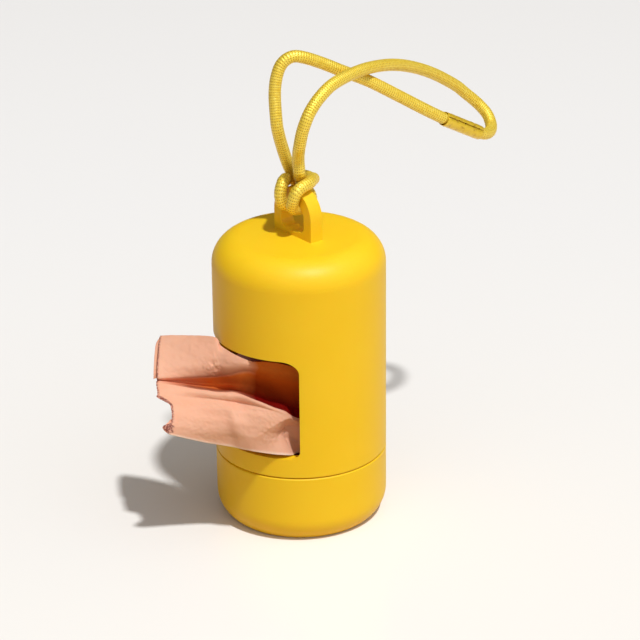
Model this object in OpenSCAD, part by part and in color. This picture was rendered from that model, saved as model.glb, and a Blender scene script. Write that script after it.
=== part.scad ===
// Clip-on carrier for a roll of waste bags: a round shell with a dispensing
// window and a moulded lug, a screw-on base cap, a roll of bags on a paper
// core, the first bag pulled out through the window, and a wrist cord that
// is hitched through the lug and closed by a crimped sleeve.
// Millimetres. Origin at the centre of the base, +Z up, window towards -Y.

/* [Body] */
// Outer diameter of the shell and the cap
body_d = 42; // [40:0.5:48]
// Height from the base to the top of the dome
body_h = 72.8; // [70:0.5:90]
// Wall thickness of the shell
wall = 2.5; // [2:0.1:2.8]
// Radius of the rounded shoulder
shoulder_r = 6.8; // [5:0.2:8]
// Slope of the slightly crowned top where it meets the shoulder, in degrees
crown_slope = 2; // [1:0.5:4]

/* [Window] */
// Width of the window across the shell
window_w = 32; // [28:0.5:33]
// Height of the window
window_h = 25.6; // [24:0.2:30]
// Height of the sill above the joint between shell and cap
sill_h = 5.2; // [4:0.1:8]
// Corner radius at the top of the window
window_top_r = 3.2; // [2:0.2:5]
// Corner radius at the sill
window_sill_r = 2; // [1:0.2:4]

/* [Lug] */
// Width of the lug plate
lug_w = 13.6; // [13:0.2:15]
// Thickness of the lug plate
lug_t = 3.6; // [3:0.1:3.7]
// Height of the lug above the dome
lug_h = 12; // [11.6:0.1:12.2]
// Width of the lug's band around its eye
lug_band = 2.6; // [2:0.1:2.8]
// Height of the eye's sill above the dome
eye_sill = 1.5; // [1:0.1:2]
// Corner radius at the eye's sill
eye_corner_r = 1.6; // [0.8:0.2:2]

/* [Cap] */
// Height of the cap's outside wall
cap_h = 17.5; // [16:0.1:22]
// Thickness of the cap's wall
cap_wall = 2; // [1.6:0.1:2.2]
// Thickness of the cap's floor
cap_floor = 2.5; // [2:0.1:4]
// Height over which the cap's lower edge curves in
base_curve_h = 5.9; // [4.5:0.1:7]
// How far the cap's lower edge curves in
base_inset = 3; // [2:0.1:3.4]
// Gap at the joint between shell and cap
seam_gap = 0.25; // [0.15:0.05:0.3]
// Radius on the two outer edges of the joint
seam_edge_r = 0.3; // [0.2:0.05:0.5]

/* [Thread] */
// Length of the shell's neck below the joint
neck_h = 8; // [7:0.2:9]
// Thickness of the neck
neck_wall = 1.6; // [1.4:0.1:1.8]
// Thickness of the step that joins the neck to the shell's wall
neck_step = 2; // [1.6:0.1:3]
// Pitch of the thread
thread_pitch = 3; // [2.6:0.1:3.4]
// Height of each thread ridge above its wall
thread_depth = 0.65; // [0.45:0.05:0.7]
// Turns of each thread ridge
thread_turns = 1.2; // [0.8:0.1:1.3]
// Radial clearance between a ridge's crest and the wall that faces it
thread_gap = 0.25; // [0.2:0.05:0.35]

/* [Bags] */
// Gap between the roll of bags and the bore of the shell's neck
roll_gap = 1; // [0.8:0.1:3]
// Width of the roll of bags
roll_w = 60; // [55:0.5:62]
// Outer diameter of the paper core
core_d = 14; // [12:0.5:18]
// Thickness of the paper core
core_wall = 1.5; // [1:0.1:2.5]
// Thickness of the folded bag that is pulled out
fold_t = 1.8; // [1.2:0.1:2]

/* [Cord] */
// Diameter of the cord
cord_d = 2.9; // [2.4:0.1:2.9]
// Length of the crimped sleeve
sleeve_l = 13.6; // [11:0.2:13.6]
// Thickness of the crimped sleeve
sleeve_wall = 0.35; // [0.25:0.05:0.5]
// Width of the slit along the crimped sleeve
sleeve_slit = 0.4; // [0.3:0.05:0.8]

/* [Hidden] */
$fn = 96;

// Overlap of solids that are joined into one
join = 0.3;
// Gap between pieces that rest on or slide along each other
rest_gap = 0.3;
// Radial running clearance of the bags on their core
core_gap = 0.05;

// Shell
body_r = body_d / 2;
inner_r = body_r - wall;
seam_z = cap_h;
shell_bottom = seam_z + seam_gap / 2;
inner_top = body_h - wall;
inner_shoulder_r = shoulder_r - wall;
// The crown is part of a large disc that touches the shoulder's arc
crown_r = (body_r - shoulder_r) / sin(crown_slope) + shoulder_r;
crown_centre_z = body_h - crown_r;
shoulder_z = crown_centre_z + (crown_r - shoulder_r) * cos(crown_slope);
crown_edge_r = crown_r * sin(crown_slope);

// Window
window_z0 = seam_z + sill_h;
window_z1 = window_z0 + window_h;
window_mid = (window_z0 + window_z1) / 2;

// Lug
lug_r = lug_w / 2;
eye_r = lug_r - lug_band;
arch_z = body_h + lug_h - lug_r;

// Cap
cap_top = seam_z - seam_gap / 2;
cap_bore_r = body_r - cap_wall;
base_arc_r = (base_inset * base_inset + base_curve_h * base_curve_h) / (2 * base_inset);
base_arc_x = body_r - base_arc_r;

// Neck and thread
crest_male_r = cap_bore_r - thread_gap;
neck_r = crest_male_r - thread_depth;
crest_female_r = neck_r + thread_gap;
neck_bottom = shell_bottom - neck_h;
ridge_base = 1.3;
ridge_crest = 0.6;
ridge_steps = 40;
thread_start = neck_bottom + 2;

// Bags
roll_r = neck_r - neck_wall - roll_gap;
roll_z0 = cap_floor + rest_gap;
core_r = core_d / 2;

// The pulled-out bag is a folded strip. Each row runs across the strip, from
// its top edge over the upper fold, the valley and the lower fold to its
// bottom edge: [to the right, out from the shell, up from mid-window].
strip_rows = [
    [[-4.5, -2.7, 12.2], [1, -2.3, 9.3], [4, -2.9, 1.8], [9.5, -2.6, -1.2], [13, -5.4, -12.1]],
    [[-10, -1.4, 12.3], [-3.5, 0, 8.7], [-2.5, -2.2, 0.7], [6.8, 0.8, -2.9], [10.8, 0, -11.3]],
    [[-15.2, 2.6, 12.4], [-8.6, 5.3, 9.5], [-6.2, 5.7, 1.7], [1.6, 9, -0.5], [5.4, 10, -7.3]],
    [[-20.2, 7.4, 11.8], [-14.4, 10.8, 9.9], [-11.2, 12.9, 3.5], [-5, 16.5, 2.1], [-1, 19, -3.3]]
];
// The strip's first rows lie on the roll: [angle from -Y, up from mid-window]
wrap_rows = [
    [[38, 12.2], [40, 7.3], [42, 0.3], [44, -5.7], [46, -12.1]],
    [[25, 12.2], [30, 7.6], [35, 0.6], [41, -5], [45, -12.1]],
    [[12, 12.2], [20, 7.9], [28, 0.9], [38, -4.3], [44, -12.1]]
];

// Route of the cord through the lug's eye and round its own two legs:
// [right, back, up from the dome]
hitch_route = [
    [-5.34, 0.76, 17.7], [-5.71, 1.61, 16.07], [-6.09, 2.53, 14.48], [-6.21, 3.48, 12.88],
    [-5.93, 4.12, 11.15], [-5.78, 4.69, 9.39], [-5.12, 5.61, 7.96], [-3.47, 5.45, 7.28],
    [-2.35, 4, 7.23], [-1.67, 2.26, 7.17], [-1.51, 0.4, 7.17], [-1.52, -1.48, 7.17],
    [-1.46, -3.18, 7.8], [-1.6, -4, 9.45], [-1.74, -3.95, 11.3], [-2, -3.08, 12.9],
    [-2.84, -1.56, 13.41], [-4.09, -0.32, 12.82], [-5.42, 0.54, 11.83], [-6.87, 1.15, 10.83],
    [-8.26, 2.28, 10.36], [-8.89, 4.01, 10.32], [-8.47, 5.79, 10.57], [-7.13, 6.99, 10.95],
    [-5.34, 7.4, 11.23], [-3.51, 7.06, 11.33], [-1.84, 6.4, 11.81], [-0.55, 5.29, 12.56],
    [0.62, 3.89, 12.98], [1.94, 2.61, 13.34], [2.94, 1.04, 13.4], [3.35, -0.78, 13.29],
    [3.45, -2.57, 12.81], [3.19, -3.66, 11.38], [2.67, -3.83, 9.6], [1.95, -3.36, 7.96],
    [1.53, -1.8, 7.18], [1.53, 0.08, 7.17], [1.48, 1.94, 7.22], [1.02, 3.31, 8.29],
    [-0.2, 3.57, 9.65], [-1.91, 3.57, 10.39], [-2.99, 3.49, 11.83], [-2.64, 2.81, 13.46],
    [-1.35, 1.66, 14.13], [0.01, 0.5, 14.65], [0.94, -0.26, 16.04], [1.13, -0.55, 17.87]
];
// Route of the loop, from the left leg round to the right leg
loop_route = [
    [-5.2, 0.36, 18.57], [-4.85, -0.84, 21.51], [-4.57, -1.88, 24.52], [-4.58, -2.43, 27.46],
    [-5.84, -1.82, 33.98], [-6.11, -0.9, 38.25], [-5.82, 0.54, 41.18], [-4.82, 2.79, 42.62],
    [-3.77, 5.51, 42.07], [-2.79, 10.39, 39.78], [-1.5, 15.03, 37.24], [0, 22.46, 33.31],
    [1.82, 29.81, 28.56], [3.4, 36.97, 23.83], [4.49, 42.85, 20.15], [4.49, 48.88, 16.8],
    [4.45, 54.91, 13.53], [4.03, 57.26, 12.54], [2.86, 59.82, 11.97], [0.95, 62.3, 11.89],
    [-1.13, 64.15, 12.33], [-3.52, 65.02, 14], [-5.46, 63.57, 16.59], [-6.43, 60.14, 19.88],
    [-6.61, 56.72, 22.77], [-5.79, 48.54, 27.83], [-3.96, 39.73, 31.99], [-1.4, 30.82, 35.14],
    [0.82, 22.28, 36.93], [2.59, 14.91, 37.45], [4.36, 7.43, 36.98], [5.31, 2.58, 35.08],
    [5.56, -0.37, 32.58], [5.53, -1.86, 30.25], [4.85, -2.45, 27.42], [3.8, -2.45, 23.72],
    [2.23, -1.46, 21.39], [1.15, -0.65, 18.78]
];
// The route's point at the middle of the sleeve, with its neighbours
sleeve_at = 15;
cord_sides = 8;

// ---------- helpers ----------

// A rectangle from x0 to x1 and z0 to z1 whose outer lower or upper corner
// is rounded by an exact arc
module edge_block(x0, x1, z0, z1, low_r, high_r) {
    translate([x0, z0 + low_r]) square([x1 - x0, z1 - z0 - low_r - high_r]);
    if (low_r > 0) {
        translate([x0, z0]) square([x1 - x0 - low_r, low_r + join]);
        translate([x1 - low_r, z0 + low_r]) circle(low_r);
    }
    if (high_r > 0) {
        translate([x0, z1 - high_r - join]) square([x1 - x0 - high_r, high_r + join]);
        translate([x1 - high_r, z1 - high_r]) circle(high_r);
    }
}

// Outline of an opening with its own radii above and below
module rounded_opening(w, h, low_r, high_r) {
    translate([-w / 2, low_r]) square([w, h - low_r - high_r]);
    translate([-w / 2 + low_r, 0]) square([w - 2 * low_r, low_r + join]);
    translate([-w / 2 + high_r, h - high_r - join]) square([w - 2 * high_r, high_r + join]);
    for (side = [-1, 1]) {
        translate([side * (w / 2 - low_r), low_r]) circle(low_r);
        translate([side * (w / 2 - high_r), h - high_r]) circle(high_r);
    }
}

function unit(v) = v / norm(v);

// One ring of a thread ridge: its section turned to an angle and raised
function ridge_ring(a, z, base_r, crest_r) = [
    for (p = [[base_r, -ridge_base / 2], [crest_r, -ridge_crest / 2],
              [crest_r, ridge_crest / 2], [base_r, ridge_base / 2]])
        [p[0] * cos(a), p[0] * sin(a), z + p[1]]
];

// Side faces between rings of n points each, and the two end faces, for
// rings that turn clockwise about the direction they follow each other in
function tube_faces(rings, n) = concat(
    [for (i = [0:rings - 2], j = [0:n - 1])
        let (a = i * n + j, b = i * n + (j + 1) % n) each [[a, b, b + n], [a, b + n, a + n]]],
    [[for (j = [n - 1:-1:0]) j]],
    [[for (j = [0:n - 1]) (rings - 1) * n + j]]
);

// The same faces for rings that turn the other way
function reversed(faces) = [for (f = faces) [for (k = [len(f) - 1:-1:0]) f[k]]];

// A right-hand ridge that starts at height z and stands out from its wall,
// or into the bore where its crest is nearer the axis than its base
module thread_ridge(base_r, crest_r, z) {
    count = ceil(thread_turns * ridge_steps);
    points = [for (i = [0:count])
        let (a = i * 360 / ridge_steps)
            each ridge_ring(a, z + thread_pitch * a / 360, base_r, crest_r)];
    faces = tube_faces(count + 1, 4);
    polyhedron(points, crest_r > base_r ? faces : reversed(faces), convexity = 8);
}

// Direction of a route at point i
function heading(route, i) =
    unit(route[min(i + 1, len(route) - 1)] - route[max(i - 1, 0)]);

// The sideways direction at each point, carried along without twist
function carry(side, along) = unit(side - (side * along) * along);
function sideways(route, i, side) = i == len(route)
    ? []
    : let (now = carry(side, heading(route, i))) concat([now], sideways(route, i + 1, now));

// A round cord swept along a route, raised to the top of the dome
module cord_tube(route) {
    first = cross(heading(route, 0), [0, 0.3, 1]);
    sides = sideways(route, 0, unit(first));
    points = [for (i = [0:len(route) - 1])
        let (u = sides[i], v = cross(heading(route, i), u))
            each [for (k = [0:cord_sides - 1])
                let (a = (k + 0.5) * 360 / cord_sides)
                    route[i] + [0, 0, body_h] + cord_d / 2 * (cos(a) * u + sin(a) * v)]];
    polyhedron(points, reversed(tube_faces(len(route), cord_sides)), convexity = 10);
}

// ---------- shell ----------

module shell_outline() {
    intersection() {
        translate([0, crown_centre_z]) circle(crown_r, $fn = 720);
        union() {
            edge_block(0, body_r, shell_bottom, shoulder_z, seam_edge_r, 0);
            translate([body_r - shoulder_r, shoulder_z]) circle(shoulder_r);
            translate([0, shoulder_z - join]) square([crown_edge_r, shoulder_r + 2 * join]);
        }
    }
}

module shell_inside() {
    translate([0, neck_bottom - 1])
        square([neck_r - neck_wall, neck_h + neck_step + 2]);
    translate([0, shell_bottom + neck_step])
        square([inner_r, inner_top - inner_shoulder_r - shell_bottom - neck_step]);
    translate([inner_r - inner_shoulder_r, inner_top - inner_shoulder_r]) circle(inner_shoulder_r);
    translate([0, inner_top - inner_shoulder_r - join])
        square([inner_r - inner_shoulder_r, inner_shoulder_r + join]);
}

// Half of a profile to the right of the axis, turned into a body
module turned() {
    rotate_extrude($fn = 180)
        intersection() {
            children();
            translate([0, -10]) square([body_r + 10, body_h + 20]);
        }
}

module lug() {
    rotate([90, 0, 0])
        linear_extrude(lug_t, center = true)
            difference() {
                union() {
                    translate([0, arch_z]) circle(lug_r);
                    translate([-lug_r, body_h - wall / 2])
                        square([lug_w, arch_z - body_h + wall / 2]);
                }
                translate([0, arch_z]) circle(eye_r);
                translate([0, body_h + eye_sill])
                    rounded_opening(2 * eye_r, arch_z - body_h - eye_sill, eye_corner_r, 0.01);
            }
}

module shell() {
    color("gold") {
        difference() {
            turned()
                difference() {
                    union() {
                        shell_outline();
                        translate([0, neck_bottom]) square([neck_r, neck_h + join]);
                    }
                    shell_inside();
                }
            rotate([90, 0, 0])
                translate([0, window_z0, 0])
                    linear_extrude(body_r + 2)
                        rounded_opening(window_w, window_h, window_sill_r, window_top_r);
        }
        lug();
        thread_ridge(neck_r - join, crest_male_r, thread_start);
    }
}

// ---------- base cap ----------

module cap_outline() {
    edge_block(0, body_r, base_curve_h, cap_top, 0, seam_edge_r);
    intersection() {
        translate([base_arc_x, base_curve_h]) circle(base_arc_r);
        square([body_r + 1, base_curve_h + join / 2]);
    }
    square([base_arc_x, base_curve_h + join]);
}

module cap_inside() {
    translate([0, base_curve_h]) square([cap_bore_r, cap_h]);
    translate([0, cap_floor]) square([base_arc_x, cap_h]);
    intersection() {
        translate([base_arc_x, base_curve_h]) circle(base_arc_r - cap_wall);
        translate([0, cap_floor]) square([body_r, cap_h]);
    }
}

module base_cap() {
    color("gold") {
        turned()
            difference() {
                cap_outline();
                cap_inside();
            }
        thread_ridge(cap_bore_r + join, crest_female_r, thread_start + thread_pitch / 2);
    }
}

// ---------- bags ----------

module roll_core() {
    color("tan")
        translate([0, 0, roll_z0])
            difference() {
                cylinder(h = roll_w, r = core_r);
                translate([0, 0, -1]) cylinder(h = roll_w + 2, r = core_r - core_wall);
            }
}

module bag_roll() {
    color("lightsalmon")
        translate([0, 0, roll_z0])
            difference() {
                cylinder(h = roll_w, r = roll_r, $fn = 120);
                translate([0, 0, -1]) cylinder(h = roll_w + 2, r = core_r + core_gap);
            }
}

// A point of the strip that lies on the roll
function on_roll(a, up, lift) = [
    (roll_r + rest_gap + lift) * sin(a), -(roll_r + rest_gap + lift) * cos(a), window_mid + up
];

function strip_point(p) = [p[0], -body_r - p[1], window_mid + p[2]];

// The strip's outer face, row by row
strip_face = concat(
    [for (row = wrap_rows) [for (p = row) on_roll(p[0], p[1], fold_t)]],
    [for (row = strip_rows) [for (p = row) strip_point(p)]]
);

// Direction square to the strip's outer face at point j of row i
function strip_normal(i, j) = unit(cross(
    strip_face[i][min(j + 1, 4)] - strip_face[i][max(j - 1, 0)],
    strip_face[max(i - 1, 0)][j] - strip_face[min(i + 1, len(strip_face) - 1)][j]
));

function strip_back(i, j) = i < len(wrap_rows)
    ? on_roll(wrap_rows[i][j][0], wrap_rows[i][j][1], 0)
    : strip_face[i][j] - fold_t * strip_normal(i, j);

module lead_bag() {
    rows = len(strip_face);
    points = [for (i = [0:rows - 1]) each concat(
        [for (j = [0:4]) strip_face[i][j]],
        [for (j = [4:-1:0]) strip_back(i, j)]
    )];
    color("lightsalmon") polyhedron(points, tube_faces(rows, 10), convexity = 6);
}

// ---------- cord ----------

module cord_hitch() {
    color("goldenrod") cord_tube(hitch_route);
}

module cord_loop() {
    color("goldenrod") cord_tube(loop_route);
}

module cord_sleeve() {
    run = loop_route[sleeve_at + 1] - loop_route[sleeve_at - 1];
    tilt = atan2(run[1], run[2]);
    color("goldenrod")
        translate(loop_route[sleeve_at] + [0, 0, body_h])
            rotate([-tilt, 0, 0])
                difference() {
                    cylinder(h = sleeve_l, r = cord_d / 2 + sleeve_wall, center = true);
                    cylinder(h = sleeve_l + 1, r = cord_d / 2, center = true);
                    translate([0, 0, -sleeve_l / 2 - 1])
                        rotate([0, 0, -25])
                            translate([0, -sleeve_slit / 2, 0])
                                cube([cord_d, sleeve_slit, sleeve_l + 2]);
                }
}

shell();
base_cap();
roll_core();
bag_roll();
lead_bag();
cord_hitch();
cord_loop();
cord_sleeve();
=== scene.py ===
"""Looks of the waste bag dispenser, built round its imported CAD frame. Metres."""

import math

import bpy
import numpy as np
from mathutils import Matrix, Vector, noise


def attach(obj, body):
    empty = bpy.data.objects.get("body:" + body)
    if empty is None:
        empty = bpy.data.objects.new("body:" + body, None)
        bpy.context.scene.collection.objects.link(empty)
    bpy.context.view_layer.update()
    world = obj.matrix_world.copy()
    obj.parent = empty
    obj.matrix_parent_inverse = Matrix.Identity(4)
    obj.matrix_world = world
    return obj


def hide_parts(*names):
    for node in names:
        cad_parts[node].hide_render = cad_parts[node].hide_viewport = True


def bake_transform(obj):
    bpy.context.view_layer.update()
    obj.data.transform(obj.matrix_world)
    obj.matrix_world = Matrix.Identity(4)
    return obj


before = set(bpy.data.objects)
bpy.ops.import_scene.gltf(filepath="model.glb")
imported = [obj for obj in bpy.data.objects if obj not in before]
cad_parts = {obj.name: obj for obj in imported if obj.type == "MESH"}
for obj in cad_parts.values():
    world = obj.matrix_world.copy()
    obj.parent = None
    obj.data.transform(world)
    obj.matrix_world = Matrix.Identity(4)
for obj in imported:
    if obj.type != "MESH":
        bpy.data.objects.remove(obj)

scene = bpy.context.scene
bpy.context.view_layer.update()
MM = 0.001
CIRCLE = 2 * math.pi

# ---------- sizes and routes that repeat the part's own, in millimetres ----------

BODY_H = 72.8
ROLL_BOTTOM, ROLL_TOP = 2.8, 62.8
ROLL_R, BORE_R = 15.5, 7.05
SLEEVE_L = 13.6
# The crests of the braid stand a little proud of the part's plain tube
CORD_R = 1.47

# Route of the cord through the lug's eye and round its own two legs:
# right, back and up from the dome
HITCH = np.array([
    [-5.34, 0.76, 17.7], [-5.71, 1.61, 16.07], [-6.09, 2.53, 14.48], [-6.21, 3.48, 12.88],
    [-5.93, 4.12, 11.15], [-5.78, 4.69, 9.39], [-5.12, 5.61, 7.96], [-3.47, 5.45, 7.28],
    [-2.35, 4, 7.23], [-1.67, 2.26, 7.17], [-1.51, 0.4, 7.17], [-1.52, -1.48, 7.17],
    [-1.46, -3.18, 7.8], [-1.6, -4, 9.45], [-1.74, -3.95, 11.3], [-2, -3.08, 12.9],
    [-2.84, -1.56, 13.41], [-4.09, -0.32, 12.82], [-5.42, 0.54, 11.83], [-6.87, 1.15, 10.83],
    [-8.26, 2.28, 10.36], [-8.89, 4.01, 10.32], [-8.47, 5.79, 10.57], [-7.13, 6.99, 10.95],
    [-5.34, 7.4, 11.23], [-3.51, 7.06, 11.33], [-1.84, 6.4, 11.81], [-0.55, 5.29, 12.56],
    [0.62, 3.89, 12.98], [1.94, 2.61, 13.34], [2.94, 1.04, 13.4], [3.35, -0.78, 13.29],
    [3.45, -2.57, 12.81], [3.19, -3.66, 11.38], [2.67, -3.83, 9.6], [1.95, -3.36, 7.96],
    [1.53, -1.8, 7.18], [1.53, 0.08, 7.17], [1.48, 1.94, 7.22], [1.02, 3.31, 8.29],
    [-0.2, 3.57, 9.65], [-1.91, 3.57, 10.39], [-2.99, 3.49, 11.83], [-2.64, 2.81, 13.46],
    [-1.35, 1.66, 14.13], [0.01, 0.5, 14.65], [0.94, -0.26, 16.04], [1.13, -0.55, 17.87],
])
# Route of the loop, from the left leg round to the right leg
LOOP = np.array([
    [-5.2, 0.36, 18.57], [-4.85, -0.84, 21.51], [-4.57, -1.88, 24.52], [-4.58, -2.43, 27.46],
    [-5.84, -1.82, 33.98], [-6.11, -0.9, 38.25], [-5.82, 0.54, 41.18], [-4.82, 2.79, 42.62],
    [-3.77, 5.51, 42.07], [-2.79, 10.39, 39.78], [-1.5, 15.03, 37.24], [0, 22.46, 33.31],
    [1.82, 29.81, 28.56], [3.4, 36.97, 23.83], [4.49, 42.85, 20.15], [4.49, 48.88, 16.8],
    [4.45, 54.91, 13.53], [4.03, 57.26, 12.54], [2.86, 59.82, 11.97], [0.95, 62.3, 11.89],
    [-1.13, 64.15, 12.33], [-3.52, 65.02, 14], [-5.46, 63.57, 16.59], [-6.43, 60.14, 19.88],
    [-6.61, 56.72, 22.77], [-5.79, 48.54, 27.83], [-3.96, 39.73, 31.99], [-1.4, 30.82, 35.14],
    [0.82, 22.28, 36.93], [2.59, 14.91, 37.45], [4.36, 7.43, 36.98], [5.31, 2.58, 35.08],
    [5.56, -0.37, 32.58], [5.53, -1.86, 30.25], [4.85, -2.45, 27.42], [3.8, -2.45, 23.72],
    [2.23, -1.46, 21.39], [1.15, -0.65, 18.78],
])
# The point of the loop at the middle of the sleeve, where the cord's ends meet
SLEEVE_AT = 15

# ---------- camera ----------

# Side of the picture and the camera's focal length, both in pixels, and the
# width of its sensor in millimetres
FRAME = 640
FOCAL = 2800
SENSOR = 36
# The camera's place in metres, and the ways that are right and up before its roll
CAMERA_AT = (0.4795, -0.3959, 0.3248)
CAMERA_RIGHT = Vector((0.6428, 0.7660, 0))
CAMERA_UP = Vector((-0.3096, 0.2598, 0.9147))
CAMERA_ROLL = math.radians(-0.6)


def make_camera():
    data = bpy.data.cameras.new("camera")
    data.sensor_width = SENSOR
    data.lens = FOCAL * SENSOR / FRAME
    data.clip_start, data.clip_end = 0.01, 20
    cam = bpy.data.objects.new("camera", data)
    scene.collection.objects.link(cam)
    cos, sin = math.cos(CAMERA_ROLL), math.sin(CAMERA_ROLL)
    right = (cos * CAMERA_RIGHT + sin * CAMERA_UP).normalized()
    up = (cos * CAMERA_UP - sin * CAMERA_RIGHT).normalized()
    up = (up - up.dot(right) * right).normalized()
    turned = Matrix((right, up, right.cross(up))).transposed().to_4x4()
    cam.matrix_world = Matrix.Translation(CAMERA_AT) @ turned
    scene.camera = cam


def sight(x, y):
    """The camera's place and its line through a pixel, in millimetres."""
    at = scene.camera.matrix_world
    line = at.to_3x3() @ Vector(((x - FRAME / 2) / FOCAL, (FRAME / 2 - y) / FOCAL, -1))
    return np.array(at.translation) / MM, np.array(line)


# ---------- helpers for shapes ----------


def mesh_object(name, verts, faces, uvs=None):
    """A smooth mesh from points in millimetres, with one UV for each point if given."""
    mesh = bpy.data.meshes.new(name)
    mesh.from_pydata((np.asarray(verts, float) * MM).tolist(), [], faces)
    if uvs is not None:
        layer = mesh.uv_layers.new(name="UVMap")
        index = np.empty(len(mesh.loops), np.int32)
        mesh.loops.foreach_get("vertex_index", index)
        layer.data.foreach_set("uv", np.asarray(uvs, np.float32)[index].ravel())
    mesh.polygons.foreach_set("use_smooth", [True] * len(mesh.polygons))
    mesh.validate()
    obj = bpy.data.objects.new(name, mesh)
    scene.collection.objects.link(obj)
    return obj


def grid_faces(rows, cols, around=False):
    """Quads of a grid of points, closed across the columns if around."""
    n = cols if around else cols - 1
    return [(i * cols + j, i * cols + (j + 1) % cols,
             (i + 1) * cols + (j + 1) % cols, (i + 1) * cols + j)
            for i in range(rows - 1) for j in range(n)]


def with_ends(points):
    """The points, with one more at each end, straight on."""
    return np.concatenate([2 * points[:1] - points[1:2], points, 2 * points[-1:] - points[-2:-1]])


def catmull_rom(a, b, c, d, t):
    """The Catmull-Rom curve through four points, between b and c, at t from 0 to 1."""
    return 0.5 * (2 * b + (c - a) * t + (2 * a - 5 * b + 4 * c - d) * t ** 2
                  + (3 * b - a - 3 * c + d) * t ** 3)


def run_along(points):
    """The distance of each point from the first, along the line."""
    return np.concatenate([[0], np.cumsum(np.linalg.norm(np.diff(points, axis=0), axis=1))])


def point_at(points, along, where):
    """The places of a line, whose points lie at along, at the distances where."""
    return np.stack([np.interp(where, along, points[:, axis]) for axis in range(3)], -1)


def smooth_path(points, step, samples=24):
    """Points step apart along a smooth curve, sampled first between each two of the given ones."""
    p = with_ends(points)
    t = np.linspace(0, 1, samples, endpoint=False)[:, None]
    fine = [catmull_rom(*p[i - 1:i + 3], t) for i in range(1, len(p) - 2)]
    fine = np.vstack(fine + [points[-1:]])
    along = run_along(fine)
    count = max(2, int(round(along[-1] / step)) + 1)
    return point_at(fine, along, np.linspace(0, along[-1], count))


def soften(p, times, axis=1):
    """Evens out corners along one direction of a grid and keeps its ends."""
    for _ in range(times):
        q = p.copy()
        if axis:
            q[:, 1:-1] = (p[:, :-2] + 2 * p[:, 1:-1] + p[:, 2:]) / 4
        else:
            q[1:-1] = (p[:-2] + 2 * p[1:-1] + p[2:]) / 4
        p = q
    return p


def path_sides(path):
    """Two directions across a path at each point, carried along without twist."""
    tangent = np.gradient(path, axis=0)
    tangent /= np.linalg.norm(tangent, axis=1)[:, None]
    side = np.cross(tangent[0], [0, 0.3, 1.0])
    sides = []
    for t in tangent:
        side = side - (side @ t) * t
        side /= np.linalg.norm(side)
        sides.append(side)
    sides = np.array(sides)
    return sides, np.cross(tangent, sides)


def noise_at(x, y, z):
    """Smooth noise of one octave, about -1 to 1."""
    return noise.noise(Vector((x, y, z)))


def rough_noise(points, seed):
    """Smooth noise of two octaves at each point, about -1 to 1."""
    shift = Vector((seed * 7.31, seed * 3.17, seed * 5.73))
    return np.array([noise.fractal(Vector(p) + shift, 0.7, 2.1, 2) for p in points])


def bell(x, centre, width):
    """1 at the centre, and a smooth fall to 0 on both sides."""
    return np.exp(-((x - centre) / width) ** 2)


def tent(x, lo, mid, hi):
    """1 at mid, and a straight fall to 0 at lo and at hi."""
    return np.clip(np.minimum((x - lo) / (mid - lo), (hi - x) / (hi - mid)), 0, 1)


# ---------- helpers for materials ----------


def new_material(name, color, roughness, **inputs):
    """A material with its tree and shader; inputs are sockets, with _ for a space."""
    mat = bpy.data.materials.new(name)
    mat.use_nodes = True
    shader = mat.node_tree.nodes["Principled BSDF"]
    shader.inputs["Base Color"].default_value = (*color, 1)
    shader.inputs["Roughness"].default_value = roughness
    for key, value in inputs.items():
        shader.inputs[key.replace("_", " ")].default_value = value
    return mat, mat.node_tree, shader


def add(tree, kind, links=(), **values):
    """A node with its properties or sockets set, and links as {socket: output}."""
    node = tree.nodes.new(kind)
    for key, value in values.items():
        if hasattr(node, key):
            setattr(node, key, value)
        else:
            node.inputs[key.replace("_", " ")].default_value = value
    for key, out in dict(links).items():
        tree.links.new(out, node.inputs[key])
    return node


def object_place(tree):
    """Place on the object, in metres."""
    return add(tree, "ShaderNodeTexCoord").outputs["Object"]


def uv_place(tree):
    """U and V of the object's own map."""
    uv = add(tree, "ShaderNodeUVMap", uv_map="UVMap").outputs["UV"]
    parts = add(tree, "ShaderNodeSeparateXYZ", {"Vector": uv})
    return parts.outputs["X"], parts.outputs["Y"]


def noise_tex(tree, vector, scale, detail=2.0, rough=0.5, **values):
    """Smooth noise, 0 to 1; scale is in cells to a metre."""
    node = add(tree, "ShaderNodeTexNoise", {"Vector": vector}, Scale=scale, Detail=detail,
               Roughness=rough, **values)
    return node.outputs["Fac"]


def ramp(tree, fac, stops):
    """A colour by its place among the stops, which are pairs of a place and a colour."""
    node = add(tree, "ShaderNodeValToRGB", {"Fac": fac})
    elements = node.color_ramp.elements
    while len(elements) < len(stops):
        elements.new(0.5)
    for element, (at, color) in zip(elements, stops):
        element.position, element.color = at, (*color, 1)
    return node.outputs["Color"]


def bump(tree, height, strength, distance, normal=None):
    links = {"Height": height}
    if normal is not None:
        links["Normal"] = normal
    return add(tree, "ShaderNodeBump", links, Strength=strength, Distance=distance).outputs["Normal"]


def mask(tree, value, lo, hi):
    """0 at lo and 1 at hi."""
    node = add(tree, "ShaderNodeMapRange", {"Value": value}, From_Min=lo, From_Max=hi)
    return node.outputs["Result"]


def math_node(tree, kind, *values):
    node = add(tree, "ShaderNodeMath", operation=kind)
    for socket, value in zip(node.inputs, values):
        if isinstance(value, (int, float)):
            socket.default_value = value
        else:
            tree.links.new(value, socket)
    return node.outputs[0]


def multiply(tree, a, b, *more):
    product = math_node(tree, "MULTIPLY", a, b)
    return multiply(tree, product, *more) if more else product


def ripple(tree, value):
    """Height of a row of arches, each 1 wide."""
    return math_node(tree, "ABSOLUTE", math_node(tree, "SINE", multiply(tree, value, math.pi)))


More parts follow.
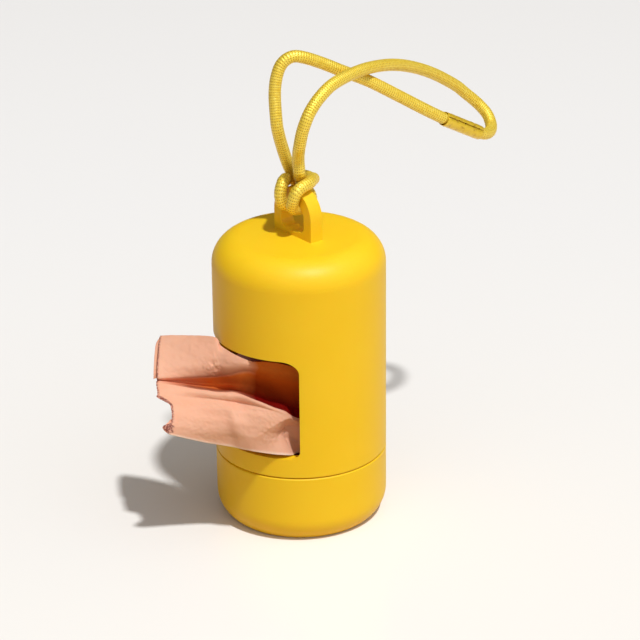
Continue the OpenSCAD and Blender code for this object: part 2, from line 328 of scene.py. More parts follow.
def mix(tree, fac, under, over):
    """The colour under where fac is 0, and over where it is 1."""
    node = add(tree, "ShaderNodeMix", data_type="RGBA")
    for socket, value in zip((node.inputs[0], node.inputs[6], node.inputs[7]), (fac, under, over)):
        if isinstance(value, tuple):
            socket.default_value = (*value, 1)
        else:
            tree.links.new(value, socket)
    return node.outputs[2]


# ---------- materials ----------

# Threads of the cord's braid that wind each way, and the spacing of its ribs in millimetres
THREADS = 16
RIB = 0.62


def casing_material():
    """Moulded plastic, faintly clouded, with a fine satin grain."""
    mat, tree, shader = new_material("casing", (0.89, 0.57, 0.012), 0.46, Specular_IOR_Level=0.30,
                                     Subsurface_Weight=0.18, Subsurface_Scale=0.004)
    shader.inputs["Subsurface Radius"].default_value = (1.0, 0.35, 0.02)
    at = object_place(tree)
    cloud = noise_tex(tree, at, 55, 3)
    tone = ramp(tree, cloud, [(0.3, (0.885, 0.560, 0.009)), (0.7, (0.905, 0.582, 0.015))])
    tree.links.new(tone, shader.inputs["Base Color"])
    rough = add(tree, "ShaderNodeMapRange", {"Value": cloud}, To_Min=0.42, To_Max=0.50)
    tree.links.new(rough.outputs["Result"], shader.inputs["Roughness"])
    grain = noise_tex(tree, at, 2600, 2, 0.6)
    tree.links.new(bump(tree, grain, 0.16, 0.00006), shader.inputs["Normal"])
    return mat


def film_tone_and_painted_shade(tree, tone, at):
    """Colour of the folded film, with painted shade and a painted highlight on its folds, and the mask of
    the painted shade towards the roll.

    U runs from the torn end to the roll, and V across the film from its top
    edge: the upper fold's lip is at 0.286 and the lower fold's ridge at 0.571.
    """
    u, v = uv_place(tree)
    # Painted shade: the valley between the folds, shaded by the lip, is made redder, as light reaches it
    # only through the film
    valley_shade = multiply(tree, mask(tree, v, 0.29, 0.35), mask(tree, v, 0.572, 0.55),
                      mask(tree, u, 0.02, 0.20))
    tone = mix(tree, valley_shade, tone, (0.98, 0.255, 0.045))
    # Painted shadow along the valley's floor, its darkest part
    valley_floor_shadow = multiply(tree, mask(tree, v, 0.44, 0.51), mask(tree, v, 0.575, 0.569),
                       mask(tree, u, 0.02, 0.12))
    tone = mix(tree, valley_floor_shadow, tone, (0.20, 0.04, 0.012))
    # Painted shade: the lower fold is darkened by half
    tone = mix(tree, multiply(tree, mask(tree, v, 0.50, 0.60), 0.5), tone, (0.70, 0.355, 0.235))
    # Painted shade where the upper fold curls under towards its lip
    curl_shade = multiply(tree, mask(tree, v, 0.20, 0.285), mask(tree, u, 0.06, 0.2), mask(tree, v, 0.32, 0.29))
    tone = mix(tree, multiply(tree, curl_shade, 0.9), tone, (0.42, 0.15, 0.085))
    # Painted shade: towards the roll the film is darkened and reddened for the dim inside of the shell,
    # darkest lower down
    low = mask(tree, v, 0.18, 0.50)
    near = mask(tree, math_node(tree, "ADD", u, multiply(tree, low, 0.12)), 0.58, 0.69)
    inside = multiply(tree, near, mask(tree, v, 0.575, 0.567))
    shade = ramp(tree, low, [(0.0, (0.60, 0.14, 0.02)), (0.45, (0.50, 0.08, 0.008)),
                             (1.0, (0.14, 0.004, 0.003))])
    tone = mix(tree, inside, tone, shade)
    # The torn edge is dark and specked
    speck = ramp(tree, noise_tex(tree, at, 2500, 2, 0.6),
                 [(0.45, (0.16, 0.05, 0.04)), (0.6, (0.62, 0.30, 0.22))])
    tone = mix(tree, mask(tree, u, 0.009, 0.002), tone, speck)
    # A painted highlight: the lower edge's fold shows as a thin pale line
    fold_highlight = multiply(tree, mask(tree, v, 0.985, 0.997), 0.6)
    return mix(tree, fold_highlight, tone, (1.0, 0.78, 0.68)), inside


def film_material(name, color, dark, with_painted_shade=False):
    """Thin crinkled film; with_painted_shade adds the painted shade and highlight of its folds and its dark
    torn edge.
    """
    gloss = 0.22
    mat, tree, shader = new_material(name, color, 0.58, Specular_IOR_Level=gloss,
                                     Subsurface_Weight=0.25, Subsurface_Scale=0.0006)
    shader.inputs["Subsurface Radius"].default_value = (1.0, 0.35, 0.2)
    at = object_place(tree)
    tone = ramp(tree, noise_tex(tree, at, 120, 4), [(0.3, dark), (0.62, color)])
    if with_painted_shade:
        tone, inside = film_tone_and_painted_shade(tree, tone, at)
        # inside marks the painted shade towards the roll, where the film also has no gloss
        outside = math_node(tree, "SUBTRACT", 1.0, inside)
        tree.links.new(multiply(tree, outside, gloss), shader.inputs["Specular IOR Level"])
    tree.links.new(tone, shader.inputs["Base Color"])
    wrinkle = bump(tree, noise_tex(tree, at, 260, 3, Distortion=1.2), 0.10, 0.0002)
    fine = noise_tex(tree, at, 900, 4, 0.6)
    tree.links.new(bump(tree, fine, 0.06, 0.0001, wrinkle), shader.inputs["Normal"])
    return mat


def cord_material():
    """Glossy braid: U counts its ribs, and V goes once round."""
    mat, tree, shader = new_material("cord_braid", (0.95, 0.70, 0.07), 0.36, Specular_IOR_Level=0.6,
                                     Metallic=0.35)
    along, turn = uv_place(tree)
    turn = multiply(tree, turn, THREADS)
    ways = [ripple(tree, math_node(tree, way, turn, along)) for way in ("ADD", "SUBTRACT")]
    height = math_node(tree, "ADD", multiply(tree, *ways, 0.5), multiply(tree, ripple(tree, along), 0.5))
    tone = ramp(tree, noise_tex(tree, object_place(tree), 1500, 3, 0.7),
                [(0.32, (0.88, 0.60, 0.03)), (0.55, (0.98, 0.76, 0.09)), (0.8, (1.0, 0.88, 0.20))])
    # Painted shade in the hollows between the braid's threads
    gap_shade = mask(tree, height, 0.52, 0.10)
    tree.links.new(mix(tree, gap_shade, tone, (0.46, 0.26, 0.008)), shader.inputs["Base Color"])
    tree.links.new(bump(tree, height, 0.7, 0.00010), shader.inputs["Normal"])
    return mat


def sleeve_material():
    """Thin lacquered metal, chipped in places."""
    mat, tree, shader = new_material("sleeve_metal", (0.72, 0.48, 0.02), 0.30, Metallic=0.45,
                                     Coat_Weight=0.2)
    chip = noise_tex(tree, object_place(tree), 700, 4, 0.65)
    tone = ramp(tree, chip, [(0.30, (0.46, 0.27, 0.01)), (0.42, (0.78, 0.53, 0.02)),
                             (0.75, (0.88, 0.64, 0.04))])
    tree.links.new(tone, shader.inputs["Base Color"])
    tree.links.new(bump(tree, chip, 0.3, 0.0001), shader.inputs["Normal"])
    return mat


def card_material():
    """Grey-brown board with fibres round the tube."""
    mat, tree, shader = new_material("core_board", (0.42, 0.27, 0.14), 0.85)
    stretched = add(tree, "ShaderNodeMapping", {"Vector": object_place(tree)}, Scale=(1, 1, 6))
    fibre = noise_tex(tree, stretched.outputs["Vector"], 600, 5, 0.7)
    tone = ramp(tree, fibre, [(0.3, (0.33, 0.20, 0.10)), (0.7, (0.50, 0.33, 0.18))])
    tree.links.new(tone, shader.inputs["Base Color"])
    tree.links.new(bump(tree, fibre, 0.4, 0.0001), shader.inputs["Normal"])
    return mat


def floor_material():
    """Pale floor, with painted warm light making it a little warmer near the camera than far from it."""
    mat, tree, shader = new_material("floor", (0.86, 0.86, 0.865), 0.22, Specular_IOR_Level=0.45)
    place = add(tree, "ShaderNodeSeparateXYZ", {"Vector": object_place(tree)})
    across = math_node(tree, "SUBTRACT", multiply(tree, place.outputs["X"], 0.77),
                       multiply(tree, place.outputs["Y"], 0.64))
    # Painted warm light: the floor turns warmer towards the camera
    tone = ramp(tree, mask(tree, across, -0.20, 0.06),
                [(0.0, (0.88, 0.884, 0.895)), (1.0, (0.892, 0.884, 0.868))])
    # Only a view or a mirror sees the floor this pale; the light it throws back is dimmer and warm
    path = add(tree, "ShaderNodeLightPath")
    seen = math_node(tree, "MAXIMUM", path.outputs["Is Camera Ray"], path.outputs["Is Glossy Ray"])
    tree.links.new(mix(tree, seen, (0.66, 0.48, 0.27), tone), shader.inputs["Base Color"])
    return mat


# ---------- cord ----------

# Spacing of the cord's rings, points on each, and heights of braid and ribs, in millimetres
RING_STEP = 0.125
RING_SIDES = 40
BRAID_H = 0.13
RIB_H = 0.05
# Rings left out at each end, so that the cord's ends stay a little apart in the sleeve
RINGS_OUT = 2
# The braid starts to flatten this far outside the sleeve, and is flat this much further in
SQUEEZE_PAST, SQUEEZE_OVER = 0.1, 0.6


def braid(s, turn):
    """Height of the braid, 0 to 1, at s millimetres along and turn of a circle."""
    a, b = turn * THREADS + s / RIB, turn * THREADS - s / RIB
    over = (np.floor(a) + np.floor(b)) % 2 < 1
    across, along = np.where(over, a % 1, b % 1), np.where(over, b % 1, a % 1)
    return np.sqrt(np.clip(4 * across * (1 - across), 0, 1)) * (0.55 + 0.45 * np.sin(math.pi * along))


def close_uvs(cord):
    """Sets the far side of the last column of faces, which closes the circle, to 1 and not 0."""
    layer = cord.data.uv_layers["UVMap"].data
    for face in cord.data.polygons:
        if face.index % RING_SIDES == RING_SIDES - 1 and face.loop_total == 4:
            for loop in face.loop_indices:
                if layer[loop].uv[1] < 0.5 / RING_SIDES:
                    layer[loop].uv[1] = 1.0


def make_cord(mat):
    """The whole cord, from inside the sleeve through the knot and back."""
    route = np.vstack([LOOP[SLEEVE_AT:], HITCH[::-1], LOOP[:SLEEVE_AT + 1]]) + [0, 0, BODY_H]
    path = soften(smooth_path(route, RING_STEP), 30, 0)[RINGS_OUT:-RINGS_OUT]
    side, other = path_sides(path)
    turn = np.arange(RING_SIDES) / RING_SIDES
    s, turn = np.meshgrid(np.arange(len(path)) * RING_STEP, turn, indexing="ij")
    length = s[-1, 0]
    radius = CORD_R - BRAID_H + BRAID_H * braid(s, turn) + RIB_H * np.abs(np.sin(math.pi * s / RIB))
    from_sleeve = np.minimum(s, length - s) - SLEEVE_L / 2
    radius -= BRAID_H * np.clip((SQUEEZE_PAST - from_sleeve) / SQUEEZE_OVER, 0, 1)
    cos, sin = np.cos(CIRCLE * turn)[..., None], np.sin(CIRCLE * turn)[..., None]
    rings = path[:, None] + radius[..., None] * (cos * side[:, None] + sin * other[:, None])
    faces = grid_faces(len(path), RING_SIDES, around=True)
    faces.append(tuple(range(RING_SIDES))[::-1])
    faces.append(tuple(range((len(path) - 1) * RING_SIDES, len(path) * RING_SIDES)))
    uvs = np.stack([s / RIB, turn], -1).reshape(-1, 2)
    cord = mesh_object("wrist_cord", rings.reshape(-1, 3), faces, uvs)
    close_uvs(cord)
    cord.data.materials.append(mat)
    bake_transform(cord)
    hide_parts("cord_hitch", "cord_loop")
    return cord, path, length * MM


# ---------- sleeve ----------

# The slit along the sleeve, on the circle and in radians: its middle, half its
# width, and the size of its edges' coarse and fine jags
SLIT_AT = math.radians(30)
SLIT_HALF = 0.13
JAG, FINE_JAG = 0.10, 0.05
# In millimetres: the gap from the cord at the slit, how far the sleeve's edges
# roll in there, its wall, its dents, and how far its ends close in over a length
SLEEVE_GAP = 0.06
ROLLED_IN = 0.14
SLEEVE_WALL = 0.14
DENT = 0.05
END_IN, END_L = 0.07, 1.2


def make_sleeve(mat):
    """The crimped sleeve round the cord's two ends, open along its slit."""
    centre = LOOP[SLEEVE_AT] + [0, 0, BODY_H]
    axis = LOOP[SLEEVE_AT + 1] - LOOP[SLEEVE_AT - 1]
    axis = axis / np.linalg.norm(axis)
    x = np.array([1.0, 0, 0])
    y = np.cross(axis, x)
    rows, cols = 91, 64
    verts = []
    for d in np.linspace(-SLEEVE_L / 2, SLEEVE_L / 2, rows):
        edges = [JAG * noise_at(d * 2.3, 7.1 * k, 0.4) + FINE_JAG * noise_at(d * 6.1, 3.3 * k, 2.0)
                 for k in (1, 2)]
        first, last = SLIT_HALF + edges[0], CIRCLE - SLIT_HALF + edges[1]
        from_end = (SLEEVE_L / 2 - abs(d)) / END_L
        for f in np.linspace(0, 1, cols):
            a = first + f * (last - first) + SLIT_AT
            cos, sin = math.cos(a), math.sin(a)
            from_edge = min(f, 1 - f) * (last - first)
            r = CORD_R + SLEEVE_GAP + ROLLED_IN * min(1, from_edge / 0.5) ** 0.5
            r += DENT * noise_at(d * 0.9, cos * 1.2, sin * 1.2 + 5)
            if from_end < 1:
                r -= END_IN * (1 - from_end) ** 2
            verts.append(centre + d * axis + r * (cos * x - sin * y))
    sleeve = mesh_object("crimp_sleeve", verts, grid_faces(rows, cols))
    # The faces look in at the cord, so this puts the wall outside them
    wall = sleeve.modifiers.new("wall", "SOLIDIFY")
    wall.thickness, wall.offset = SLEEVE_WALL * MM, -1
    sleeve.data.materials.append(mat)
    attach(sleeve, "loop")
    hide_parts("cord_sleeve")
    return sleeve


make_camera()
cord, cord_path, cord_length = make_cord(cord_material())
sleeve = make_sleeve(sleeve_material())

# ---------- film ----------

# The three rows outside the window stand on planes: a point at the top, one at
# the bottom, and the way to the next row, in millimetres
ROW_PLANES = [
    ((-20.2, -28.4, 47.3), (-1, -40, 32.2), (5.7, 6.9, -1.65)),
    ((-13.6, -25.4, 48), (5.4, -31, 28.2), (5.7, 6.9, -1.65)),
    ((-7, -21.9, 49.6), (4.8, -26.2, 26.2), (10.5, 7.2, -1.5)),
]
# Points across the pulled-out bag, row by row from its torn end to the roll:
# top edge, three on the upper fold, its lip, three in the valley, the lower
# fold's ridge, two down to the crease, three on the lower fold, bottom edge.
# Each is the pixel, x and y, where the camera sees it, and how far out it is in
# millimetres: before its row's plane, or from the body's axis on later rows
SEEN_ROWS = [
    [(160.3, 335.3, 0), (158.5, 344, 0.8), (157.7, 355, 1.2), (156.8, 368, 1.2), (156.6, 378.8, 0.6),
     (157, 379.6, -0.4), (157.3, 380.2, -0.9), (157, 380.8, -0.3), (156, 382, 0.9), (156.8, 389, 1.3),
     (158, 396, 1.2), (171.5, 404.5, 1.6), (172.6, 414, 1.5), (171.6, 424.5, 0.8), (169.8, 434.8, -0.4)],
    [(188, 334.9, 0), (187, 345, 1), (186.5, 356, 1.6), (186.5, 367, 1.3), (187, 377, 0.1),
     (187.5, 379, -1.2), (188, 382, -3.2), (188.3, 385.6, -1.8), (188.5, 387.4, 0.9), (190, 392, 1.3),
     (191.5, 397.3, 0.8), (195, 407, 1.7), (198, 418, 1.8), (201, 430, 0.6), (204, 442.5, -1.6)],
    [(214.3, 336.6, 0), (214, 347, 0.9), (212.5, 357, 1.7), (211.5, 367, 1.7), (211, 376.3, 0.7),
     (211.5, 378.5, -1.2), (213, 384, -3.8), (214.5, 389.8, -1.4), (215, 391.6, 2.5), (216.5, 395.5, 2.9),
     (218, 399.8, 2.5), (221, 410, 3.6), (224, 421, 3.8), (227, 433, 2.8), (230, 446.9, 0.6)],
    [(221.3, 345.4, 21.3), (221, 352, 22.4), (220.7, 359, 23.2), (220.5, 367, 23.7), (220.3, 375.1, 23.2),
     (221, 377.5, 21.9), (222.7, 384, 20.6), (224.7, 390.2, 21.9), (225.5, 392.1, 24.6), (227, 396.2, 24.9),
     (228.7, 401.3, 24.6), (232, 411.5, 26), (235.2, 422.5, 26.8), (238.5, 435, 26.8), (241.7, 449.3, 25.6)],
    [(231, 352.2, 21.2), (230.5, 356.5, 22), (230, 361.5, 22.6), (229.5, 367, 22.8), (229.5, 373.4, 22.4),
     (230.5, 376.5, 20.4), (232.5, 384, 18.6), (235, 390.6, 19.9), (236, 392.6, 22.8), (237.5, 397, 23.2),
     (239.5, 403, 22.8), (243, 413, 24.4), (246.5, 424, 25.1), (250, 437, 25.3), (253.5, 451.6, 24.5)],
    [(244.5, 359, 21.1), (244.5, 361.5, 21.3), (245, 364, 21.4), (245.5, 366.5, 21.2), (246.5, 370, 20.6),
     (248, 374, 18.8), (251, 384, 17.2), (253.5, 396.5, 18.2), (254, 399.6, 21.8), (255.5, 402.5, 22),
     (257, 406, 21.8), (260, 416, 22.8), (263, 427, 23.2), (266.5, 440, 23.2), (270, 454.3, 22.4)],
    [(255, 362, 19.4), (255.5, 363.5, 19.2), (256.5, 366, 18.8), (257.5, 369, 18.2), (259, 373, 17.5),
     (261, 379, 16.8), (265, 390, 16), (269, 401.5, 16.6), (270.5, 406.6, 20.8), (272, 408.5, 21),
     (273.5, 411, 20.9), (276, 420, 21.4), (278.5, 430, 21.6), (281, 442, 21.4), (284, 455.3, 20.8)],
    [(267, 362, 17.6), (268, 364.5, 17.3), (269, 368, 17), (270.5, 372, 16.7), (272, 377, 16.4),
     (274.5, 383, 16.1), (278.5, 393, 15.8), (282, 404, 16), (284.5, 411.6, 19.2), (286, 413.5, 19.4),
     (287.5, 416, 19.4), (289, 423, 19.6), (290, 432, 19.6), (291, 443, 19.5), (293, 455.4, 19.1)],
    [(280, 363.5, 16.3), (281, 367, 16.2), (282, 370, 16.1), (283.5, 374, 16), (285, 378.5, 15.9),
     (287, 385, 15.8), (291, 397, 15.75), (293.3, 409, 15.9), (294.5, 417.5, 17.6), (295.5, 420, 17.7),
     (296.3, 423, 17.7), (297, 428, 17.6), (297.3, 434, 17.5), (297.6, 443, 17.3), (298, 453, 17.1)],
    [(302, 369, 15.8), (302.5, 372, 15.8), (303, 376, 15.8), (303.5, 380, 15.8), (304, 385, 15.8),
     (304.5, 391, 15.75), (305, 401, 15.75), (305.5, 411, 15.8), (306, 420, 15.9), (306.5, 424, 15.9),
     (307, 428, 15.9), (307.5, 434, 15.9), (308, 440, 15.9), (308.5, 447, 15.9), (309, 453, 15.9)],
]


def on_plane(x, y, out, top, bottom, onward):
    """Where a pixel's line meets a row's plane, moved out towards the camera."""
    eye, line = sight(x, y)
    normal = np.cross(onward, np.subtract(bottom, top))
    normal = normal / np.linalg.norm(normal)
    if normal[1] > 0:
        normal = -normal
    return eye + line * (normal @ top + out - normal @ eye) / (normal @ line)


def on_cylinder(x, y, radius):
    """Where a pixel's line meets a cylinder about the body's axis, or passes nearest to it."""
    eye, line = sight(x, y)
    a, b = line[:2] @ line[:2], eye[:2] @ line[:2]
    gap = b * b - a * (eye[:2] @ eye[:2] - radius * radius)
    return eye + line * (-b - math.sqrt(max(gap, 0))) / a


NET = np.array([
    [on_plane(*point, *ROW_PLANES[i]) if i < len(ROW_PLANES) else on_cylinder(*point) for point in row]
    for i, row in enumerate(SEEN_ROWS)
])
LAST_ROW = len(NET) - 1
# Samples across the film between neighbouring points of the net
ACROSS = [14, 14, 14, 16, 12, 14, 14, 12, 14, 12, 30, 18, 20, 20]
LAST_COLUMN = len(ACROSS)
LIP = sum(ACROSS[:4])
# How far the torn end stands off the net's first row at places across it, as a
# share of a row; below 0 it is further out
TORN_AT = [0, 9.9, 10.1, 10.5, 10.9, 12.9, 13.0, 13.1, 13.25, 13.6, 13.75, 13.85, LAST_COLUMN]
TORN = [0, 0, -.11, -.12, -.06, 0, -.04, -.22, -.28, -.27, -.16, 0, .02]
# Columns of a layer behind, in millimetres: each one's place from the fold, along
# the front, and its depth below the front
BACK_AT = [0.05, 0.2, 0.5, 1.0, 1.8, 2.8, 4.0, 5.4, 7.0, 8.8, 10.6]
BACK_DEPTH = [0.12, 0.3, 0.5, 0.6, 0.65, 0.7, 0.75, 0.8, 0.85, 0.9, 0.95]
# How far these layers reach: the upper one as a share of its fold, with what it
# gains towards the torn end, and the lower one as a share of BACK_AT
UPPER_REACH, UPPER_GAIN = 0.8, 0.18
LOWER_REACH = 0.6
# The column, from each edge, whose normals say which way the layer behind lies
NEAR_EDGE = 8
FILM_ROWS = 230
FILM_SEED = 1.0
# The film's wall and its least distance from the roll, in millimetres
FILM_WALL = 0.05
ROLL_CLEAR = 0.12
# Depths in millimetres: the tucked facet, the crease under the lower fold's ridge
# and the slack waves, and then the crinkles, large and small, everywhere and where
# the film is handled
FACET, CREASE, WAVE = 2.2, 0.35, 0.25
EVERYWHERE = (0.12, 0.09)
HANDLED = (0.60, 0.35)
# How closely the crinkles are packed along X, Y and Z
CRINKLE = (0.22, 0.30, 0.42)
# The strip and the scrap that hang from the torn edge, and the strip's dark edge,
# across the net: where each starts, is at its full size and ends
STRIP, SCRAP = (9.9, 10.3, 11.1), (13.0, 13.4, 13.9)
DARK_STRIP = (9.95, 10.4, 11.05)
# Rows of the film that its teeth reach
TEETH_ROWS = 10


def net_rows(u):
    """The net's rows at each u on a smooth curve; straight beyond the torn end."""
    p = with_ends(NET)
    i = np.clip(np.floor(u).astype(int), 0, LAST_ROW - 1)
    t = (u - i)[:, None, None]
    inside = catmull_rom(p[i], p[i + 1], p[i + 2], p[i + 3], t)
    return np.where(t < 0, NET[0] + (NET[1] - NET[0]) * t, inside)


def film_grid():
    """Grid of points of the folded film, each one's place in rows and columns of the net,
    and each row's share of the way from the torn end to the roll.
    """
    across = np.concatenate([k + np.arange(n) / n for k, n in enumerate(ACROSS)] + [[float(LAST_COLUMN)]])
    # The rows lie a little closer together at the torn end
    share = np.linspace(0, 1, FILM_ROWS) ** 1.1
    torn = np.interp(across, TORN_AT, TORN)
    p = np.empty((FILM_ROWS, len(across), 3))
    for j, k in enumerate(across):
        net = net_rows(torn[j] + (LAST_ROW - torn[j]) * share)
        i = min(int(k), LAST_COLUMN - 1)
        p[:, j] = net[:, i] + (net[:, i + 1] - net[:, i]) * (k - i)
    row = torn[None] + (LAST_ROW - torn[None]) * share[:, None]
    return soften(p, 14), row, np.broadcast_to(across, row.shape), share


def outward(p):
    """Normals of a grid of points, on the side that faces out of the window."""
    n = np.cross(np.gradient(p, axis=0), np.gradient(p, axis=1))
    n = n / np.maximum(np.linalg.norm(n, axis=-1), 1e-9)[..., None]
    return n if n[:, :, 1].mean() < 0 else -n


def add_folds(p, out, row, column):
    """Moves the film along its normals for folds, waves and crinkles, placed by row and column."""
    d = np.zeros(row.shape)
    # The tucked fold at the lower right: a dark facet down to its foot, then a lit one
    foot = 12.4 + 0.15 * (row - 5)
    d -= (FACET * np.clip((row + column - 17.4) / 1.3, 0, 1.2) * np.clip((14 - column) / (14 - foot), 0, 1)
          * np.clip((9 - row) / 1.5, 0, 1))
    d -= CREASE * bell(column, 10, 0.22) * bell(row, 3.5, 2.2)
    d += WAVE * np.sin(column * 2.4 + row * 1.1 + 0.5) * bell(row, 2.0, 1.4) * bell(column, 12.4, 1.2)
    at = (p * CRINKLE).reshape(-1, 3)
    soft = rough_noise(at * 0.6, FILM_SEED).reshape(row.shape)
    crease = 0.5 - np.abs(rough_noise(at * 2.0, FILM_SEED + 3)).reshape(row.shape)
    sharp = 0.5 - np.abs(rough_noise(at * 5.0, FILM_SEED + 5)).reshape(row.shape)
    # The film is most handled on the upper fold, at the tucked fold and by the scrap
    busy = bell(row, 2.3, 0.6) * bell(column, 3.0, 0.7)
    busy += 0.25 * bell(row, 5.4, 0.9) * bell(column, 12.6, 1.3)
    busy += 0.3 * bell(row, 1.0, 0.6) * bell(column, 13, 0.8)
    d += EVERYWHERE[0] * soft + EVERYWHERE[1] * crease + busy * (HANDLED[0] * crease + HANDLED[1] * sharp)
    return p + out * d[..., None]


def fold_back(p, out, share):
    """Columns of a layer that turns back behind p's first column; share scales their places."""
    along = [run_along(row) for row in p]
    return [
        np.array([point_at(row, a, at * s) for row, a, s in zip(p, along, share)]) - out * depth
        for at, depth in zip(BACK_AT, BACK_DEPTH)
    ]


def back_layers(p, out, share):
    """The film's layer behind its top edge and the one behind its bottom edge."""
    near = soften(out[:, [NEAR_EDGE, -NEAR_EDGE]], 30, 0)
    tall = np.linalg.norm(p[:, LIP] - p[:, 0], axis=1)
    # 1 at the torn end, and soon close to 0
    fade = (1 - share)[:, None] ** 6
    reach = (UPPER_REACH + UPPER_GAIN * fade[:, 0]) * tall / BACK_AT[-1]
    top = fold_back(p[:, :LIP], near[:, 0], reach)
    low = fold_back(p[:, ::-1], near[:, 1], np.full(FILM_ROWS, LOWER_REACH))
    # The upper one is torn a little further out
    shift = (NET[0, 1] - NET[1, 1]) * 0.15
    top = [column + shift * min(1, at / 1.8) * fade for column, at in zip(top, BACK_AT)]
    return top[::-1], low


def with_backs(values):
    """Values for each column of the front, with the edges' own for the layers behind them."""
    n = len(BACK_AT)
    return np.concatenate([values[:, :1]] * n + [values] + [values[:, -1:]] * n, 1)


def tear(sheet, place):
    """Makes the torn edge ragged, most of all along the strip and the scrap that hang from it."""
    # The way out of the film at its torn end
    way = sheet[0] - sheet[6]
    way /= np.linalg.norm(way, axis=1)[:, None]
    rough = 0.45 + 1.6 * tent(place, *STRIP) + 1.6 * tent(place, *SCRAP)
    teeth = [0.16 * noise_at(x * 2.2, 3, 0) + 0.20 * noise_at(x * 5.7, 1, 4) for x in run_along(sheet[0])]
    for i in range(TEETH_ROWS):
        sheet[i] += way * (np.array(teeth) * rough * (1 - i / TEETH_ROWS) ** 1.5)[:, None]


def hold_clear(p):
    """Keeps the film off the roll."""
    r = np.hypot(p[..., 0], p[..., 1])
    least = ROLL_R + ROLL_CLEAR
    q = p.copy()
    q[..., :2] *= np.where(r < least, least / np.maximum(r, 1e-6), 1)[..., None]
    return q


def make_film(front, back):
    """The pulled-out bag: a folded front, and a layer behind its top and its bottom edge."""
    p, row, column, share = film_grid()
    out = outward(p)
    p = add_folds(p, out, row, column)
    top, low = back_layers(p, out, share)
    sheet = soften(np.concatenate([np.stack(top, 1), p, np.stack(low, 1)], 1), 2)
    place = with_backs(column)
    along = with_backs(row) / LAST_ROW - 0.008 * tent(place, *DARK_STRIP)
    tear(sheet, place[0])
    sheet = hold_clear(sheet)
    uvs = np.stack([along, place / LAST_COLUMN], -1).reshape(-1, 2)
    film = mesh_object("pulled_bag", sheet.reshape(-1, 3), grid_faces(*sheet.shape[:2]), uvs)
    for mat in (front, back):
        film.data.materials.append(mat)
    # The wall's far side has the second material
    wall = film.modifiers.new("thickness", "SOLIDIFY")
    wall.thickness, wall.offset, wall.material_offset = FILM_WALL * MM, 0, 1
    bpy.context.view_layer.objects.active = film
    film.select_set(True)
    bpy.ops.object.modifier_apply(modifier=wall.name)
    film.select_set(False)
    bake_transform(film)
    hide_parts("lead_bag")


PINK, PINK_DARK = (0.86, 0.42, 0.29), (0.82, 0.378, 0.257)
front = film_material("bag_film", PINK, PINK_DARK, with_painted_shade=True)
back = film_material("bag_film_back", PINK, PINK_DARK)
make_film(front, back)

# ---------- roll ----------

# Points round the roll, rings along it and rings across each end
ROLL_SIDES = 192
SIDE_RINGS = 90
END_RINGS = 60
# Where the outermost turn ends, as a share of a circle from the window's middle
TURN_ENDS = 46 / 360
# In millimetres: the film's radius inside the part's plain roll, how far its ends
# are sunk, the step where its turn ends, its dents, and the pitch of its layers
SIDE_R = ROLL_R - 0.12
END_SUNK = 0.18
STEP = 0.10
ROLL_DENT = 0.08
LAYER = 0.6


def roll_profile():
    """Heights and radii of the rings from the bore, round the outside and back to the bore."""
    out = np.linspace(BORE_R, SIDE_R, END_RINGS)
    zs = [np.full(END_RINGS, ROLL_BOTTOM), np.linspace(ROLL_BOTTOM, ROLL_TOP, SIDE_RINGS),
          np.full(END_RINGS, ROLL_TOP), [ROLL_BOTTOM]]
    rs = [out, np.full(SIDE_RINGS, SIDE_R), np.linspace(SIDE_R, BORE_R, END_RINGS), [BORE_R]]
    return np.concatenate(zs), np.concatenate(rs)


def make_roll(mat):
    """The bags on the roll, with their layers showing at both ends."""
    share = np.arange(ROLL_SIDES) / ROLL_SIDES
    angle = CIRCLE * share
    # The film's last turn ends in a low step where the first bag leaves the roll
    turn = (share + 0.25 - TURN_ENDS) % 1
    verts = []
    zs, rs = roll_profile()
    for z, r in zip(zs, rs):
        at_bore, at_side = r < BORE_R + 0.01, r > SIDE_R - 0.03
        radius = r + np.zeros(ROLL_SIDES)
        height = z + np.zeros(ROLL_SIDES)
        if not at_bore:
            radius -= STEP * turn
        if at_side:
            radius += [ROLL_DENT * noise_at(math.cos(a) * 3, math.sin(a) * 3, z * 0.12) for a in angle]
        if z in (ROLL_BOTTOM, ROLL_TOP):
            sunk = END_SUNK + np.zeros(ROLL_SIDES)
            if not at_bore and not at_side:
                sunk += END_SUNK * np.sin((radius + LAYER * turn) * CIRCLE / LAYER)
            height += sunk if z == ROLL_BOTTOM else -sunk
        verts.append(np.stack([radius * np.cos(angle), radius * np.sin(angle), height], 1))
    roll = mesh_object("bag_roll_film", np.vstack(verts), grid_faces(len(zs), ROLL_SIDES, around=True))
    roll.data.materials.append(mat)
    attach(roll, "roll")
    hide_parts("bag_roll")


# Painted shade: the roll's film is far darker and redder than the bag's, for the dim inside of the shell
make_roll(film_material("roll_film", (0.30, 0.06, 0.025), (0.24, 0.045, 0.02)))

# ---------- CAD nodes ----------

# Rounding of the moulded edges, in millimetres, and the least angle that counts as one
BEVEL_WIDTH = 0.38
BEVEL_ANGLE = math.radians(50)


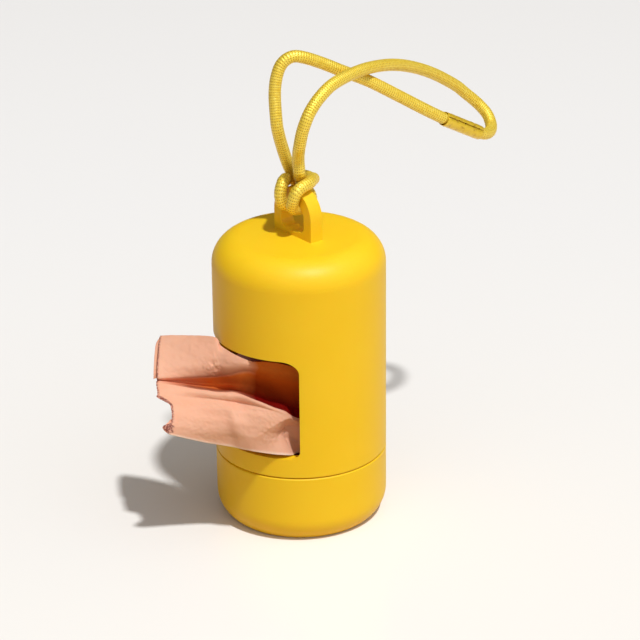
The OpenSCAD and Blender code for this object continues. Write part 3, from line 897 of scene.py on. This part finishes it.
def dress_nodes():
    """Gives the part's own nodes their materials, and the mouldings a rounded edge."""
    casing, board = casing_material(), card_material()
    for name, mat in (("shell", casing), ("base_cap", casing), ("roll_core", board)):
        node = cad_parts[name]
        node.data.materials.clear()
        node.data.materials.append(mat)
        if mat is casing:
            edge = node.modifiers.new("edges", "BEVEL")
            edge.width, edge.segments = BEVEL_WIDTH * MM, 3
            edge.limit_method, edge.angle_limit = "ANGLE", BEVEL_ANGLE
            edge.harden_normals = False


dress_nodes()

# ---------- floor and light ----------

# Half the floor's side, and how far it lies below the part, in metres
FLOOR_HALF = 3
FLOOR_BELOW = 0.00005
# The ways that the sun and the brightest side of the room lie from the part
SUN_WAY = Vector((0.481, -0.064, 1.0))
BRIGHT_WAY = (0.80, -0.10, 0.59)


def make_floor(mat):
    h = FLOOR_HALF
    mesh = bpy.data.meshes.new("floor")
    mesh.from_pydata([(-h, -h, 0), (h, -h, 0), (h, h, 0), (-h, h, 0)], [], [(0, 1, 2, 3)])
    floor = bpy.data.objects.new("floor", mesh)
    floor.location = (0, 0, -FLOOR_BELOW)
    scene.collection.objects.link(floor)
    mesh.materials.append(mat)


def make_light():
    key = bpy.data.lights.new("key", "SUN")
    key.energy, key.angle = 2.75, math.radians(3.2)
    key.color = (1.0, 0.985, 0.96)
    lamp = bpy.data.objects.new("key", key)
    lamp.rotation_mode = "QUATERNION"
    lamp.rotation_quaternion = (-SUN_WAY).to_track_quat("-Z", "Y")
    scene.collection.objects.link(lamp)


def make_world():
    """A room that is bright on one side and dim and warm on the other."""
    world = bpy.data.worlds.new("world")
    scene.world = world
    world.use_nodes = True
    tree = world.node_tree
    way = add(tree, "ShaderNodeTexCoord").outputs["Generated"]
    side = add(tree, "ShaderNodeVectorMath", {0: way}, operation="DOT_PRODUCT")
    side.inputs[1].default_value = BRIGHT_WAY
    tone = ramp(tree, mask(tree, side.outputs["Value"], -0.5, 0.9),
                [(0.0, (0.06, 0.045, 0.03)), (0.45, (0.22, 0.19, 0.155)), (1.0, (0.66, 0.665, 0.67))])
    background = tree.nodes["Background"]
    tree.links.new(tone, background.inputs["Color"])
    background.inputs["Strength"].default_value = 1.0


make_floor(floor_material())
make_light()
make_world()
scene.view_settings.view_transform = "Standard"
